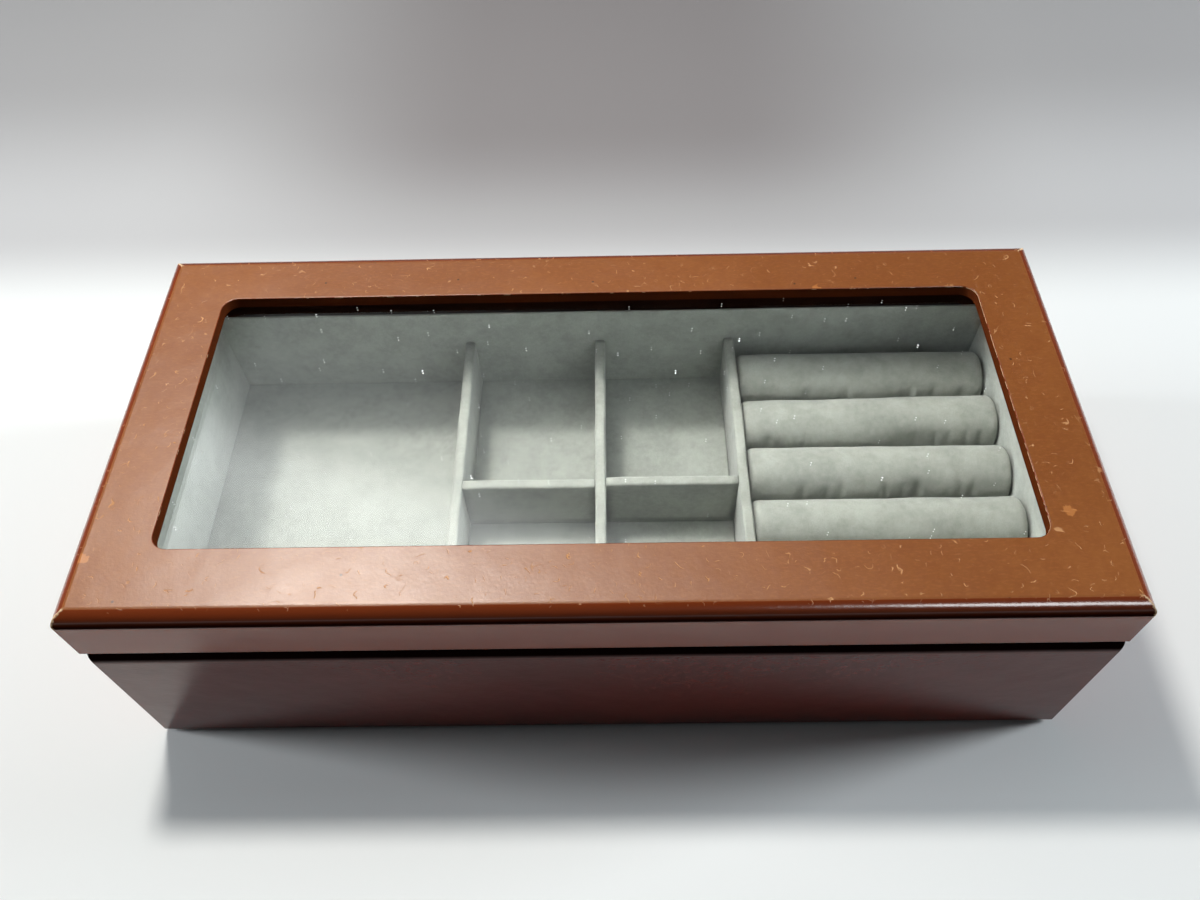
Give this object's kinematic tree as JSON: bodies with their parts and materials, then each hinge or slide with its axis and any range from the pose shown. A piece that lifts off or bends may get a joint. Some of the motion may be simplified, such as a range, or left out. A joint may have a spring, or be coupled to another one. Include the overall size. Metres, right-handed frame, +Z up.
{
  "type": "watch box",
  "caption": "Rectangular stained fibreboard watch box with a hinged glass-topped lid, suede-lined compartments and a cushion of ring rolls.",
  "frame": {"origin": "centre of the base's footprint, on the surface that the box stands on (underside of the felt)", "axes": "+Z up, +X to the right along the box, +Y towards the hinges at the back; the lid opens from the front (-Y)"},
  "size_m": [0.3, 0.1445, 0.0845],
  "materials": {
    "stained_board": "reddish-brown stained and lacquered fibreboard, semi-gloss, worn at the corners",
    "raw_board": "bare fibreboard, matt",
    "clear_glass": "clear float glass",
    "felt": "thin dark felt",
    "spacer_board": "plain packing board",
    "suede_lining": "pale grey-green imitation suede on card",
    "suede_cover": "pale grey-green imitation suede",
    "grey_board": "grey board",
    "foam": "soft open-cell foam",
    "brass": "brass-plated steel, slightly dull"
  },
  "bodies": {
    "base": {"base_back_wall": "stained_board", "base_bottom_panel": "raw_board", "base_front_wall": "stained_board", "base_left_wall": "stained_board", "base_right_wall": "stained_board", "cross_divider_board": "grey_board", "cross_divider_cover": "suede_cover", "divider_left_board": "grey_board", "divider_left_cover": "suede_cover", "divider_middle_board": "grey_board", "divider_middle_cover": "suede_cover", "divider_right_board": "grey_board", "divider_right_cover": "suede_cover", "floor_lining": "suede_lining", "floor_spacer": "spacer_board", "hinge_base_screws": "brass", "hinge_left_base_leaf": "brass", "hinge_left_pin": "brass", "hinge_right_base_leaf": "brass", "hinge_right_pin": "brass", "lining_back": "suede_lining", "lining_front": "suede_lining", "lining_left": "suede_lining", "lining_right": "suede_lining", "ring_pad_card": "grey_board", "ring_roll_1_cover": "suede_cover", "ring_roll_1_foam": "foam", "ring_roll_2_cover": "suede_cover", "ring_roll_2_foam": "foam", "ring_roll_3_cover": "suede_cover", "ring_roll_3_foam": "foam", "ring_roll_4_cover": "suede_cover", "ring_roll_4_foam": "foam", "ring_roll_5_cover": "suede_cover", "ring_roll_5_foam": "foam", "underside_felt": "felt"},
    "lid": {"glass_pane": "clear_glass", "glazing_bead_back": "stained_board", "glazing_bead_front": "stained_board", "glazing_bead_left": "stained_board", "glazing_bead_right": "stained_board", "hinge_left_lid_leaf": "brass", "hinge_lid_screws": "brass", "hinge_right_lid_leaf": "brass", "lid_back_rail": "stained_board", "lid_front_rail": "stained_board", "lid_left_rail": "stained_board", "lid_right_rail": "stained_board", "lid_top_panel": "stained_board"}
  },
  "joints": [
    {"name": "lid_hinge", "type": "hinge", "parent": "base", "child": "lid", "pos_m": [0, 0.0724, 0.063], "axis": [-1, 0, 0], "range_deg": [0, 95]}
  ]
}
